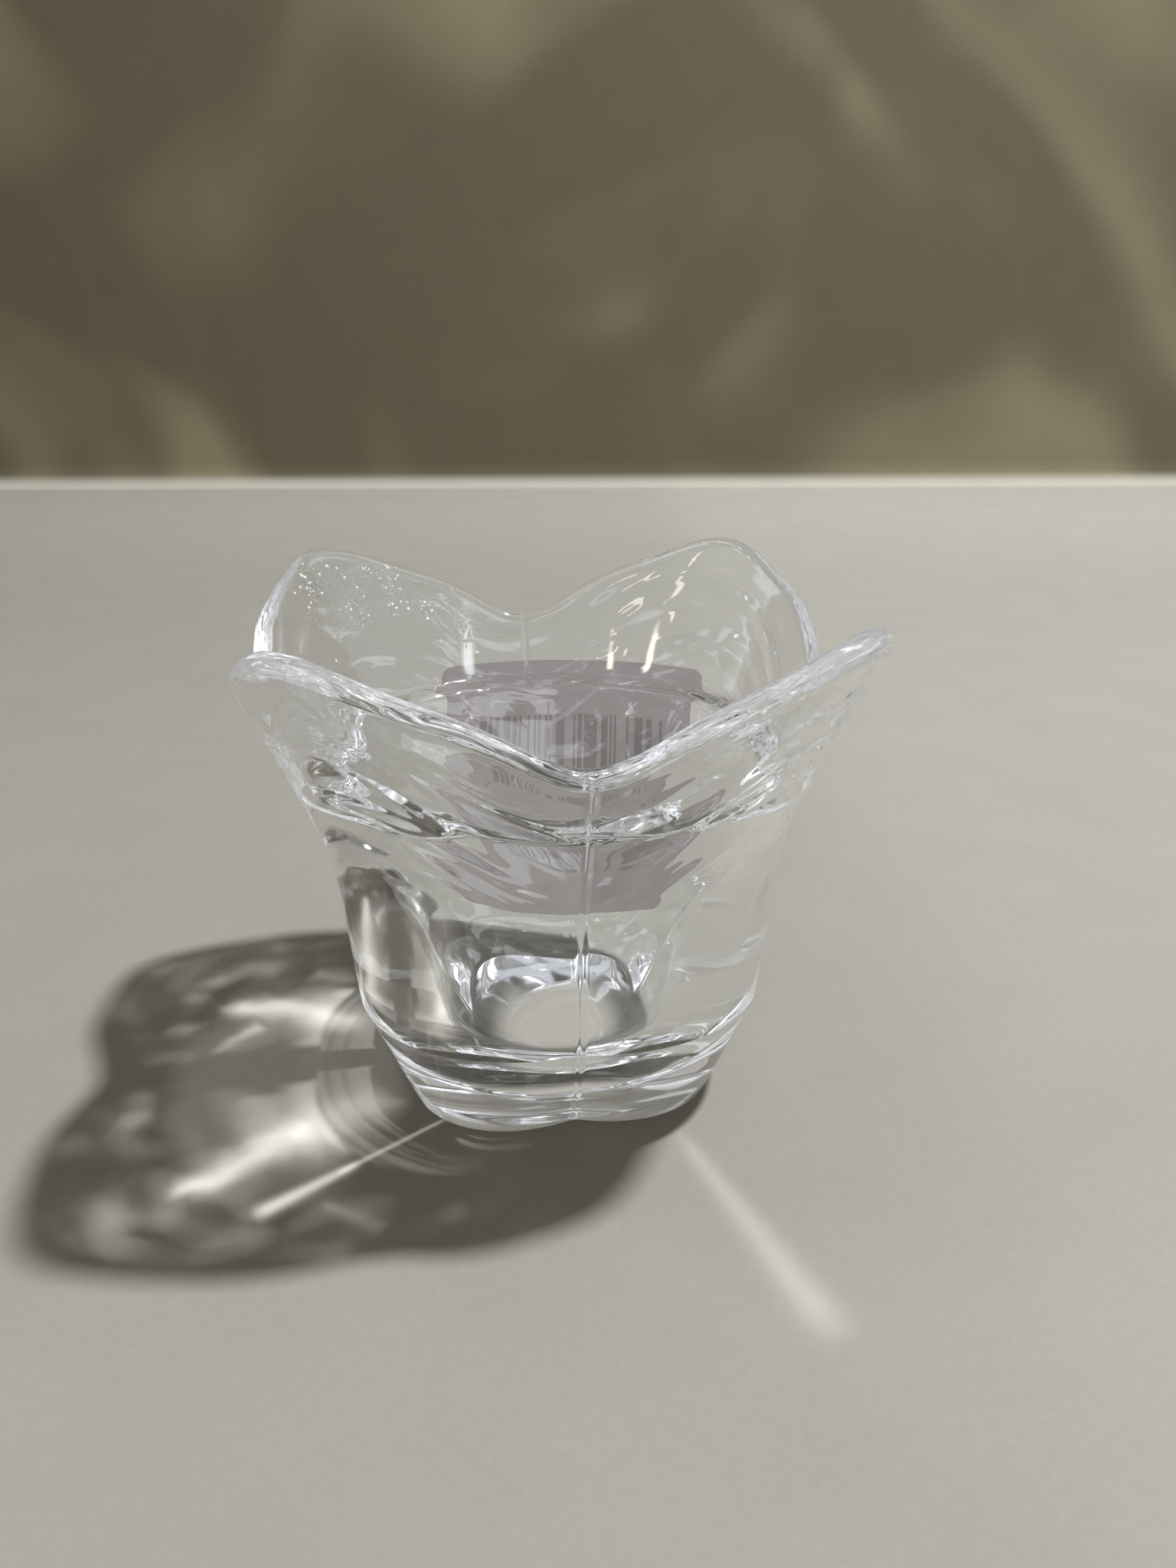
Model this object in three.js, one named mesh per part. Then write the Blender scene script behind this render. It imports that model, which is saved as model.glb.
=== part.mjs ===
// Glass candle holder: one heavy pressed-glass cup on a chamfered four-lobed foot.
// Its wall rises to a knee and flares into four rounded petals with low valleys
// between them. Inside, the petals stand on a narrow ledge round the mouth of a deep
// tapered well for a votive candle. A paper price label is stuck to the back of the
// wall.
//
// Millimetres, +Z up. The origin is the middle of the foot, on the table.
// The petal tips lie on the diagonals, the valleys and mould seams on X and Y,
// and +Y is the back.

import * as THREE from 'three';

// Petal rim, measured on the crest of its rounded lip.
const TIP_RADIUS = 50;
const TIP_HEIGHT = 76.5;
const VALLEY_RADIUS = 41.8;
const VALLEY_HEIGHT = 62.9;
const LIP_THICKNESS = 3.4;

// Petal wall where it stands on the ledge, and the fillet at its root.
const PETAL_ROOT_THICKNESS = 4.4;
const PETAL_ROOT_FILLET = 1;

// Outer wall: it leans out by its draft up to the knee, where the flare starts.
const WALL_DRAFT_DEGREES = 5.7;
const KNEE_HEIGHT_AT_TIP = 45.3;
const KNEE_HEIGHT_AT_VALLEY = 38.9;
const KNEE_SOFTNESS = 2.6;

// Ring: the crisp edge between the wall and the chamfer of the foot.
const RING_HEIGHT = 17.1;
const RING_LOBE_RADIUS = 33.8;
const RING_NOTCH_RADIUS = 30.4;

// Foot: its outline on the table, its rounded edge and the shallow dish below.
const FOOT_LOBE_RADIUS = 27;
const FOOT_NOTCH_RADIUS = 21.7;
const FOOT_EDGE_ROUNDING = 1.2;
const DISH_RADIUS = 15;
const DISH_DEPTH = 0.8;

// Well for the candle, measured where its straight wall would meet ledge and floor.
// The mouth gives way to the ledge where a petal's root comes too close.
const LEDGE_HEIGHT = 53;
const LEDGE_LEAST_WIDTH = 0.4;
const WELL_MOUTH_RADIUS = 30.5;
const WELL_MOUTH_ROUNDING = 1.2;
const WELL_FLOOR_RADIUS = 20.5;
const WELL_FLOOR_HEIGHT = 4.5;
const WELL_CORNER_RADIUS = 17.5;
const WELL_LOBE_DEPTH = 0.45;

// Paper label on the back wall, with its bed of adhesive behind it.
const LABEL_WIDTH = 50;
const LABEL_HEIGHT = 37;
const LABEL_BOTTOM = 17.4;
const LABEL_AZIMUTH_DEGREES = 77;
const LABEL_THICKNESS = 0.25;
const ADHESIVE_GAP = 0.3;

// Fineness of the facets.
const SEGMENTS = 80;
const LIP_STEPS = 6;
const WALL_STEPS = 12;
const ARC_STEPS = 4;
const LABEL_COLUMNS = 20;
const LABEL_ROWS = 8;

const PETALS = 4;
const rad = THREE.MathUtils.degToRad;

// Angle measured from the nearest petal's axis, in units of a petal's half width:
// 0 on the petal, 1 in the valley.
function valleyShare(azimuth) {
  const petal = (2 * Math.PI) / PETALS;
  const turned = azimuth / petal;
  return 1 - 2 * Math.abs(turned - Math.round(turned));
}

// A smooth wave, 1 on the petal and -1 in the valley.
function smoothWave(azimuth) {
  return Math.cos(Math.PI * valleyShare(azimuth));
}

// The same wave drawn as round lobes that meet in a sharp crease at each seam.
function creasedWave(azimuth) {
  const share = valleyShare(azimuth);
  return 0.4 * smoothWave(azimuth) + 0.6 * (1 - 2 * share * share);
}

// The rim's wave: peak adds the third harmonic that tucks in beside the tips,
// and broad the second, which levels them.
function rimWave(azimuth, peak, broad) {
  const turn = Math.PI * valleyShare(azimuth);
  const second = broad * (Math.cos(2 * turn) - 1);
  return (1 - peak) * Math.cos(turn) + peak * Math.cos(3 * turn) + second;
}

function between(high, low, wave) {
  return (high + low) / 2 + ((high - low) / 2) * wave;
}

const rimRadius = (azimuth) =>
  between(TIP_RADIUS, VALLEY_RADIUS, rimWave(azimuth, 0.1, 0.025));
const rimHeight = (azimuth) =>
  between(TIP_HEIGHT, VALLEY_HEIGHT, rimWave(azimuth, 0.09, -0.065));
const ringRadius = (azimuth) =>
  between(RING_LOBE_RADIUS, RING_NOTCH_RADIUS, creasedWave(azimuth));
const footRadius = (azimuth) =>
  between(FOOT_LOBE_RADIUS, FOOT_NOTCH_RADIUS, creasedWave(azimuth));
const kneeHeight = (azimuth) =>
  between(KNEE_HEIGHT_AT_TIP, KNEE_HEIGHT_AT_VALLEY, smoothWave(azimuth));

// Height above the knee, eased in so that the flare has no corner.
function eased(height) {
  return KNEE_SOFTNESS * Math.log(1 + Math.exp(height / KNEE_SOFTNESS));
}

// The wall below the knee, carried on upwards.
function draftedRadius(azimuth, z) {
  return ringRadius(azimuth) + Math.tan(rad(WALL_DRAFT_DEGREES)) * (z - RING_HEIGHT);
}

// Lip: a half round whose crest is on the rim. It leans as the flare does.
function lip(azimuth) {
  const knee = kneeHeight(azimuth);
  const rise = rimHeight(azimuth) - knee;
  const run = rimRadius(azimuth) - draftedRadius(azimuth, knee);
  const lean = Math.atan2(run, rise);
  const round = LIP_THICKNESS / 2;
  const centre = new THREE.Vector2(
    rimRadius(azimuth) - round * Math.sin(lean),
    rimHeight(azimuth) - round * Math.cos(lean),
  );
  const at = (turn) =>
    new THREE.Vector2(
      centre.x + round * Math.cos(turn - lean),
      centre.y + round * Math.sin(turn - lean),
    );
  return { outer: at(0), inner: at(Math.PI), at };
}

// Outer wall from the ring to the lip.
function wallRadius(azimuth, z) {
  const end = lip(azimuth).outer;
  const knee = kneeHeight(azimuth);
  const flare = (end.x - draftedRadius(azimuth, end.y)) / eased(end.y - knee);
  return draftedRadius(azimuth, z) + flare * eased(z - knee);
}

// Points of an arc in the meridian plane, both ends included.
function arc(centreX, centreY, radius, from, to, steps) {
  const points = [];
  for (let i = 0; i <= steps; i += 1) {
    const turn = THREE.MathUtils.lerp(from, to, i / steps);
    const x = centreX + radius * Math.cos(turn);
    points.push(new THREE.Vector2(x, centreY + radius * Math.sin(turn)));
  }
  return points;
}

function line(from, to, steps) {
  const points = [];
  for (let i = 1; i < steps; i += 1) {
    points.push(from.clone().lerp(to, i / steps));
  }
  return points;
}

// Underside and foot: dish, standing face, rounded edge and chamfer.
function footMeridian(azimuth) {
  const points = [];
  for (let i = 1; i <= 3; i += 1) {
    const r = (DISH_RADIUS * i) / 3;
    points.push(new THREE.Vector2(r, DISH_DEPTH * (1 - (r / DISH_RADIUS) ** 2)));
  }
  const chamfer = Math.atan2(RING_HEIGHT, ringRadius(azimuth) - footRadius(azimuth));
  const tangent = FOOT_EDGE_ROUNDING * Math.tan(chamfer / 2);
  const edge = footRadius(azimuth) - tangent;
  const end = chamfer - Math.PI / 2;
  points.push(
    ...arc(edge, FOOT_EDGE_ROUNDING, FOOT_EDGE_ROUNDING, -Math.PI / 2, end, 3),
  );
  const ring = new THREE.Vector2(ringRadius(azimuth), RING_HEIGHT);
  points.push(...line(points[points.length - 1], ring, 3));
  return points;
}

function wallMeridian(azimuth) {
  const top = lip(azimuth).outer.y;
  const points = [];
  for (let i = 0; i <= WALL_STEPS; i += 1) {
    const z = THREE.MathUtils.lerp(RING_HEIGHT, top, i / WALL_STEPS);
    points.push(new THREE.Vector2(wallRadius(azimuth, z), z));
  }
  return points;
}

// The petal's root: the lean of its inner face, and the radius at which its fillet
// runs out on the ledge.
function petalRoot(azimuth) {
  const inner = lip(azimuth).inner;
  const radius = wallRadius(azimuth, LEDGE_HEIGHT) - PETAL_ROOT_THICKNESS;
  const lean = Math.atan2(inner.x - radius, inner.y - LEDGE_HEIGHT);
  const reach = PETAL_ROOT_FILLET / Math.tan(Math.PI / 4 + lean / 2);
  return { lean, filletEnd: radius - reach };
}

// Over the lip and down inside the petal to its fillet on the ledge.
function petalMeridian(azimuth) {
  const points = [];
  const edge = lip(azimuth);
  for (let i = 1; i <= LIP_STEPS; i += 1) {
    points.push(edge.at((Math.PI * i) / LIP_STEPS));
  }
  const root = petalRoot(azimuth);
  const fillet = arc(
    root.filletEnd,
    LEDGE_HEIGHT + PETAL_ROOT_FILLET,
    PETAL_ROOT_FILLET,
    -root.lean,
    -Math.PI / 2,
    ARC_STEPS,
  );
  points.push(...line(edge.inner, fillet[0], 6), ...fillet);
  return points;
}

// The well: rounded mouth, tapered wall, wide corner and floor.
function wellMeridian(azimuth) {
  const depth = LEDGE_HEIGHT - WELL_FLOOR_HEIGHT;
  const lobes = 1 + (WELL_LOBE_DEPTH / WELL_MOUTH_RADIUS) * smoothWave(azimuth);
  const steepest = Math.atan2(WELL_MOUTH_RADIUS - WELL_FLOOR_RADIUS, depth);
  const shoulder = WELL_MOUTH_ROUNDING / Math.tan(Math.PI / 4 + steepest / 2);
  const room = petalRoot(azimuth).filletEnd / lobes - LEDGE_LEAST_WIDTH - shoulder;
  const mouthRadius = Math.min(WELL_MOUTH_RADIUS, room);
  const taper = Math.atan2(mouthRadius - WELL_FLOOR_RADIUS, depth);
  const halfTurn = Math.tan(Math.PI / 4 + taper / 2);
  const mouth = arc(
    mouthRadius + WELL_MOUTH_ROUNDING / halfTurn,
    LEDGE_HEIGHT - WELL_MOUTH_ROUNDING,
    WELL_MOUTH_ROUNDING,
    Math.PI / 2,
    Math.PI - taper,
    ARC_STEPS,
  );
  const corner = arc(
    WELL_FLOOR_RADIUS - WELL_CORNER_RADIUS / halfTurn,
    WELL_FLOOR_HEIGHT + WELL_CORNER_RADIUS,
    WELL_CORNER_RADIUS,
    -taper,
    -Math.PI / 2,
    2 * ARC_STEPS,
  );
  const wall = line(mouth[ARC_STEPS], corner[0], 5);
  const points = [...mouth, ...wall, ...corner];
  for (const point of points) {
    point.x *= lobes;
  }
  return points;
}

// Turn a list of closed loops, or of rows, into a mesh geometry.
function toGeometry(positions, triangles) {
  const geometry = new THREE.BufferGeometry();
  const values = new THREE.Float32BufferAttribute(positions, 3);
  geometry.setAttribute('position', values);
  geometry.setIndex(triangles);
  geometry.computeVertexNormals();
  return geometry;
}

// The glass: one meridian for each azimuth, lofted around the axis and closed on
// it below, at the top of the dish, and above, at the floor of the well.
function glassGeometry() {
  const positions = [0, 0, DISH_DEPTH];
  const triangles = [];
  let rows = 0;
  for (let j = 0; j < SEGMENTS; j += 1) {
    const azimuth = (2 * Math.PI * j) / SEGMENTS;
    const meridian = [
      ...footMeridian(azimuth),
      ...wallMeridian(azimuth),
      ...petalMeridian(azimuth),
      ...wellMeridian(azimuth),
    ];
    rows = meridian.length;
    for (const point of meridian) {
      positions.push(
        point.x * Math.cos(azimuth),
        point.x * Math.sin(azimuth),
        point.y,
      );
    }
  }
  const floor = positions.length / 3;
  positions.push(0, 0, WELL_FLOOR_HEIGHT);
  const at = (j, i) => 1 + (j % SEGMENTS) * rows + i;
  for (let j = 0; j < SEGMENTS; j += 1) {
    triangles.push(0, at(j + 1, 0), at(j, 0));
    for (let i = 0; i < rows - 1; i += 1) {
      triangles.push(at(j, i), at(j + 1, i), at(j + 1, i + 1));
      triangles.push(at(j, i), at(j + 1, i + 1), at(j, i + 1));
    }
    triangles.push(floor, at(j, rows - 1), at(j + 1, rows - 1));
  }
  return toGeometry(positions, triangles);
}

// A point at a distance outside the wall, square to it.
function offWall(azimuth, z, distance) {
  const step = 1e-4;
  const point = (a, h) =>
    new THREE.Vector3(
      wallRadius(a, h) * Math.cos(a),
      wallRadius(a, h) * Math.sin(a),
      h,
    );
  const here = point(azimuth, z);
  const around = point(azimuth + step, z).sub(here);
  const up = point(azimuth, z + 1e-2).sub(here);
  return here.addScaledVector(around.cross(up).normalize(), distance);
}

// Azimuth reached by walking round the wall at one height from the label's middle.
function azimuthAlong(distance, z) {
  const paces = 40;
  const pace = distance / paces;
  let azimuth = rad(LABEL_AZIMUTH_DEGREES);
  for (let i = 0; i < paces; i += 1) {
    const r = wallRadius(azimuth, z);
    const slope = (wallRadius(azimuth + 1e-4, z) - r) / 1e-4;
    azimuth -= pace / Math.hypot(r, slope);
  }
  return azimuth;
}

// The label: a true rectangle of paper, wrapped on the wall's curves.
function labelGeometry() {
  const positions = [];
  const triangles = [];
  const across = LABEL_COLUMNS + 1;
  const sheet = across * (LABEL_ROWS + 1);
  for (const distance of [ADHESIVE_GAP, ADHESIVE_GAP + LABEL_THICKNESS]) {
    for (let i = 0; i <= LABEL_ROWS; i += 1) {
      const z = LABEL_BOTTOM + (LABEL_HEIGHT * i) / LABEL_ROWS;
      for (let j = 0; j <= LABEL_COLUMNS; j += 1) {
        const along = LABEL_WIDTH * (j / LABEL_COLUMNS - 0.5);
        positions.push(...offWall(azimuthAlong(along, z), z, distance).toArray());
      }
    }
  }
  const face = (a, b, c, d) => triangles.push(a, b, c, a, c, d);
  for (let i = 0; i < LABEL_ROWS; i += 1) {
    for (let j = 0; j < LABEL_COLUMNS; j += 1) {
      const k = i * across + j;
      face(k, k + 1, k + 1 + across, k + across);
      const m = k + sheet;
      face(m + across, m + across + 1, m + 1, m);
    }
    const left = i * across;
    face(left, left + across, left + across + sheet, left + sheet);
    const right = left + LABEL_COLUMNS;
    face(right + sheet, right + across + sheet, right + across, right);
  }
  for (let j = 0; j < LABEL_COLUMNS; j += 1) {
    face(j + sheet, j + 1 + sheet, j + 1, j);
    const top = LABEL_ROWS * across + j;
    face(top, top + 1, top + 1 + sheet, top + sheet);
  }
  return toGeometry(positions, triangles);
}

const glass = new THREE.Mesh(
  glassGeometry(),
  new THREE.MeshStandardMaterial({
    color: 0xe9eeec,
    roughness: 0.03,
    metalness: 0,
    transparent: true,
    opacity: 0.35,
  }),
);
glass.name = 'glass_body';

const label = new THREE.Mesh(
  labelGeometry(),
  new THREE.MeshStandardMaterial({ color: 0xc9c0cb, roughness: 0.8, metalness: 0 }),
);
label.name = 'paper_label';

const candleHolder = new THREE.Group();
candleHolder.add(glass, label);

export default candleHolder;
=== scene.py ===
"""Looks for a clear pressed-glass candle holder with a petal rim and a paper price label.

The file has the layout of an add-on and is run as a script. Each operator makes one
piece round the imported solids, in metres, in the same frame: the origin is the middle
of the foot on the table, +Z is up, and the petal tips lie on the diagonals.
"""

import math
from types import SimpleNamespace

import bpy
from mathutils import Matrix, Vector
from mathutils.bvhtree import BVHTree


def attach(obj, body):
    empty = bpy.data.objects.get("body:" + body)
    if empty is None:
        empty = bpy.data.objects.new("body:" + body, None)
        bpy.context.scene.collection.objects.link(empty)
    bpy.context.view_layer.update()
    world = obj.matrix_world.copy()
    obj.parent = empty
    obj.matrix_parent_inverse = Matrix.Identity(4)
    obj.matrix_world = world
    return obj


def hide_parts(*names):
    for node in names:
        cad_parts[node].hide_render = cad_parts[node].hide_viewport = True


bl_info = {
    "name": "Petal Candle Holder",
    "version": (1, 0, 0),
    "blender": (4, 5, 0),
    "location": "3D View > Sidebar > Candle Holder",
    "description": "Makes a pressed-glass candle holder, its price label and a plain stage",
    "category": "Object",
}

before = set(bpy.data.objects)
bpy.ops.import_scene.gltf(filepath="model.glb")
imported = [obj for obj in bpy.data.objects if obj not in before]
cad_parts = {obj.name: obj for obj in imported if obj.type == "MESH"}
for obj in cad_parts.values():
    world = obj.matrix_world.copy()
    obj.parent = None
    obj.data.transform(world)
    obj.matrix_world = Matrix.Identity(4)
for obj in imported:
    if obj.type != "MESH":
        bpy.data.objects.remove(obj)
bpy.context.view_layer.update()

MM = 0.001
TURN = 2 * math.pi
PETALS = 4
GLASS_BOUNCES = 40

# The glass: its columns, how they crowd at the seams, how sharply its lobes meet, how
# close its vertices merge, and where a face starts to count as outside.
COLUMNS = 321
CROWDING = 0.8
CREASE = 0.6
WELD = 1.5e-6
SIDE = 4.0 * MM
# Noise cells in a metre, along X, Y and Z: the petals' broad waves and the lips' fine
# ones. The inside shows only a share of the fine ones.
FLOW_CELLS = (70.0, 70.0, 190.0)
WAVE_CELLS = (46.0, 46.0, 155.0)
INSIDE_SHARE = 0.03
# Relief of the pressed ripples and of the dried film's grains.
RIPPLE_RELIEF = 0.04 * MM
FILM_RELIEF = 0.05 * MM
# Middle of the petal with the dried film and droplets, in degrees.
FILM_AZIMUTH = 128

# The printed bars, in millimetres, and the share of the modules that stay bare.
BAR_MODULE = 0.42
BARS_REACH = 18.2
BARS_BAND = (16.0, 28.4)
BARE_SHARE = 0.47

# Lamps of the room that only the glass shows: where, how wide, how stretched, how bright.
GLINTS = [
    ((0.47, -0.68, 0.57), 0.065, 1.0, (11.0, 11.4, 12.0)),
    ((-0.46, -0.69, 0.56), 0.032, 0.13, (22.0, 20.0, 16.5)),
    ((-0.67, -0.50, 0.55), 0.045, 0.16, (22.0, 20.0, 16.5)),
    ((0.20, 0.30, 0.93), 0.04, 1.0, (24.0, 24.0, 25.0)),
    ((-0.50, 0.20, 0.84), 0.035, 1.0, (24.0, 24.0, 25.0)),
    ((0.75, 0.30, 0.42), 0.03, 1.0, (24.0, 24.0, 25.0)),
    ((-0.90, 0.25, 0.22), 0.03, 1.0, (24.0, 24.0, 25.0)),
    ((0.30, -0.90, 0.20), 0.03, 1.0, (20.0, 20.0, 21.0)),
]

# Light that the glass throws on the floor, in millimetres.
# Pools: middle, reach, brightness. Streaks: start, end, then the width and brightness at
# both, and whether they stay straight.
THROWN_POOLS = [
    ((-43.0, -4.0), (21.0, 33.0), 0.22),
]
THROWN_STREAKS = [
    ((-54.0, 20.0), (-32.0, 11.5), (2.8, 3.4), (2.0, 1.3), False),
    ((-49.0, 12.5), (-56.0, 5.0), (1.8, 1.2), (1.1, 0.3), False),
    ((-42.0, 28.5), (-34.0, 26.0), (2.2, 1.6), (0.5, 0.3), False),
    ((-56.0, -29.5), (-40.0, -17.5), (2.0, 4.2), (2.1, 2.0), False),
    ((-41.0, -18.0), (-28.0, -10.5), (4.4, 3.6), (1.3, 0.5), False),
    ((-44.6, -35.2), (-32.0, -27.0), (1.4, 0.8), (2.2, 1.3), True),
    ((-34.0, -28.2), (-19.0, -18.4), (0.6, 0.35), (1.0, 0.7), True),
    ((-47.0, -8.0), (-44.0, -19.0), (3.4, 3.6), (0.5, 0.5), False),
    ((-36.0, -34.5), (-28.0, -40.5), (0.8, 1.6), (0.3, 0.25), True),
    ((15.0, -27.5), (25.0, -65.5), (1.2, 2.9), (0.4, 0.7), True),
]


def length(name, description, millimetres):
    """A size that a user sets in units of length."""
    return bpy.props.FloatProperty(
        name=name,
        description=description,
        default=millimetres * MM,
        min=0.0,
        precision=4,
        unit="LENGTH",
    )


def angle(name, description, degrees):
    """An angle, written in degrees."""
    return bpy.props.FloatProperty(
        name=name,
        description=description,
        default=math.radians(degrees),
        subtype="ANGLE",
    )


def colour(name, description, default):
    """A colour, in linear red, green and blue."""
    return bpy.props.FloatVectorProperty(
        name=name,
        description=description,
        default=default,
        size=3,
        min=0.0,
        max=1.0,
        subtype="COLOR",
    )


def light(name, description, default):
    """A colour of light, which may be brighter than white."""
    return bpy.props.FloatVectorProperty(
        name=name,
        description=description,
        default=default,
        size=3,
        min=0.0,
        subtype="COLOR",
    )


class HOLDER_PG_glass(bpy.types.PropertyGroup):
    """Sizes of the pressed glass. Each one is an input of its node tree."""

    tip_radius: length("Tip radius", "Axis to the crest of a petal's tip", 50)
    tip_height: length("Tip height", "Table to the crest of a petal's tip", 76.5)
    valley_radius: length("Valley radius", "Axis to the rim between two petals", 41.8)
    valley_height: length("Valley height", "Table to the rim between two petals", 62.9)
    lip_thickness: length("Lip thickness", "Glass at the rounded rim", 3.4)
    root_thickness: length("Root thickness", "Glass where a petal leaves the ledge", 4.4)
    root_fillet: length("Root fillet", "Rounding between petal and ledge", 1)
    draft: angle("Draft", "Lean of the wall below the knee", 5.7)
    knee_tip: length("Knee at tip", "Height where the flare starts under a tip", 45.3)
    knee_valley: length("Knee at valley", "Height where the flare starts at a valley", 38.9)
    knee_softness: length("Knee softness", "How gently the wall turns into the flare", 2.6)
    ring_height: length("Ring height", "Table to the edge above the chamfer", 17.1)
    ring_lobe: length("Ring lobe radius", "Axis to that edge under a petal", 33.8)
    ring_notch: length("Ring notch radius", "Axis to that edge at a seam", 30.4)
    ring_rounding: length("Ring rounding", "Radius worn onto that edge", 0.2)
    foot_lobe: length("Foot lobe radius", "Axis to the foot's outline under a petal", 27)
    foot_notch: length("Foot notch radius", "Axis to the foot's outline at a seam", 21.7)
    foot_rounding: length("Foot rounding", "Radius of the foot's edge", 1.2)
    dish_radius: length("Dish radius", "Radius of the hollow under the foot", 15)
    dish_depth: length("Dish depth", "Depth of the hollow under the foot", 0.8)
    ledge_height: length("Ledge height", "Table to the ledge round the well", 53)
    ledge_width: length("Ledge width", "Least width that the well leaves the ledge", 0.4)
    mouth_radius: length("Mouth radius", "Radius of the well at the ledge", 30.5)
    mouth_rounding: length("Mouth rounding", "Rounding of the well's mouth", 1.2)
    floor_radius: length("Floor radius", "Radius of the well at its floor", 20.5)
    floor_height: length("Floor height", "Table to the floor of the well", 4.5)
    corner_radius: length("Corner radius", "Rounding between its wall and floor", 17.5)
    well_lobes: length("Well lobes", "How far the well follows the petals", 0.45)
    seam_height: length("Seam height", "Height of the mould seams", 0.28)
    seam_width: length("Seam width", "Half width of the mould seams", 0.4)
    ripple: length("Ripple", "Waviness that the press leaves in the glass", 0.03)
    flow: length("Flow", "Broad waves left where the hot glass was flared", 0.3)
    waves: length("Waves", "Height of the fine waves that run along the lips", 1.1)


class HOLDER_PG_label(bpy.types.PropertyGroup):
    """Sizes and colours of the paper label."""

    width: length("Width", "Length of the label round the wall", 50)
    height: length("Height", "Height of the label up the wall", 37)
    bottom: length("Bottom", "Table to the label's lower edge", 17.4)
    azimuth: angle("Azimuth", "Middle of the label, seen from above", 77)
    corner: length("Corner", "Radius of the label's corners", 1.6)
    thickness: length("Thickness", "Paper and adhesive together", 0.22)
    gap: length("Gap", "Thin air that the adhesive leaves against the glass", 0.06)
    paper: colour("Paper", "Colour of the printed side", (0.80, 0.78, 0.79))
    # The back of the paper is lighter than its printed side: partly its own colour, partly
    # painted light that comes through the paper.
    adhesive: colour("Adhesive", "Colour seen through the glass", (0.90, 0.845, 0.87))
    ink: colour("Ink", "Colour of the printed bars", (0.035, 0.032, 0.036))


class HOLDER_PG_specks(bpy.types.PropertyGroup):
    """Dried droplets on the inside of one petal."""

    size: length("Size", "Radius of a droplet", 0.24)
    density: bpy.props.FloatProperty(
        name="Density",
        description="Droplets for each square metre where they are thickest",
        default=1.6e6,
        min=0.0,
    )
    seed: bpy.props.IntProperty(name="Seed", description="Changes their places", default=7)


class HOLDER_PG_stage(bpy.types.PropertyGroup):
    """Camera, lamps and floor."""

    turn: angle("Turn", "Turn of camera and stage about the holder", -8.3)
    distance: length("Distance", "Camera to the point it looks at", 180.1)
    pitch: angle("Pitch", "How far the camera looks down", 20.84)
    roll: angle("Roll", "Tilt of the camera", -0.19)
    aside: length("Aside", "Camera to the right of the axis", 5.42)
    aim: length("Aim", "Height of the point it looks at", 45.73)
    lens: bpy.props.FloatProperty(
        name="Lens",
        description="Focal length on a 36 mm sensor",
        default=1538 / 2048 * 36,
        unit="CAMERA",
    )
    floor: colour("Floor", "Colour of the floor", (0.405, 0.397, 0.36))
    # The backdrop colour is the wall behind painted dark, as in shade.
    backdrop: colour("Backdrop", "Colour of the wall behind", (0.20, 0.175, 0.113))
    key: bpy.props.FloatProperty(
        name="Key lamp", description="Power of the main lamp", default=17.0, unit="POWER"
    )
    # A lighter copy of the wall behind, painted as lit, which only the glass sees.
    lit_wall: colour("Haze", "Colour of that wall for the glass", (0.31, 0.30, 0.27))
    gathered: light("Gathered", "Light that falls through the glass", (0.30, 0.29, 0.262))
    room: light("Room", "Light from the sides", (0.12, 0.108, 0.088))
    ceiling: light("Ceiling", "Light from above", (0.19, 0.172, 0.142))
    walls: light("Walls", "What the glass shows of the room, low down", (0.34, 0.33, 0.31))
    sky: light("Sky", "What the glass shows of the room, high up", (0.62, 0.65, 0.70))
    window: light("Window", "What the glass shows of pale windows", (3.4, 3.5, 3.7))
    shade: light("Shade", "What the glass shows of dark corners", (0.07, 0.07, 0.065))
    window_scale: bpy.props.FloatProperty(
        name="Window scale", description="How many windows the room has", default=3.0
    )


class Wire:
    """A number in a node tree, so that a rule can be written as a formula."""

    def __init__(self, tree, socket):
        self.tree = tree
        self.socket = socket

    def math(self, operation, *others):
        node = self.tree.nodes.new("ShaderNodeMath")
        node.operation = operation
        for place, value in enumerate((self, *others)):
            join(self.tree, value, node.inputs[place])
        return Wire(self.tree, node.outputs[0])

    def __add__(self, other):
        return self.math("ADD", other)

    __radd__ = __add__

    def __sub__(self, other):
        return self.math("SUBTRACT", other)

    def __rsub__(self, other):
        return self.math("MULTIPLY", -1.0).math("ADD", other)

    def __mul__(self, other):
        return self.math("MULTIPLY", other)

    __rmul__ = __mul__

    def __truediv__(self, other):
        return self.math("DIVIDE", other)

    def sin(self):
        return self.math("SINE")

    def cos(self):
        return self.math("COSINE")

    def tan(self):
        return self.math("TANGENT")

    def exp(self):
        return self.math("EXPONENT")

    def squared(self):
        return self.math("MULTIPLY", self)

    def above(self, limit):
        return self.math("GREATER_THAN", limit)

    def below(self, limit):
        return self.math("LESS_THAN", limit)

    def toward(self, end, amount):
        """This number at amount 0, and end at amount 1."""
        return self + (end - self) * amount

    def ramp(self, low, high):
        """0 at low, 1 at high, eased in between and held outside."""
        node = add(self.tree, "ShaderNodeMapRange", {"interpolation_type": "SMOOTHSTEP"})
        for place, value in enumerate((self, low, high)):
            join(self.tree, value, node.inputs[place])
        return Wire(self.tree, node.outputs[0])


def join(tree, value, socket):
    """Link a wire or a socket into a socket, or write a plain value on it."""
    if isinstance(value, Wire):
        value = value.socket
    if isinstance(value, bpy.types.NodeSocket):
        tree.links.new(value, socket)
    else:
        socket.default_value = value


def add(tree, kind, settings=None, **inputs):
    """Add a node. Its inputs are given by name, with _ for a space."""
    node = tree.nodes.new(kind)
    for name, value in (settings or {}).items():
        setattr(node, name, value)
    for name, value in inputs.items():
        join(tree, value, node.inputs[name.replace("_", " ")])
    return node


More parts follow.
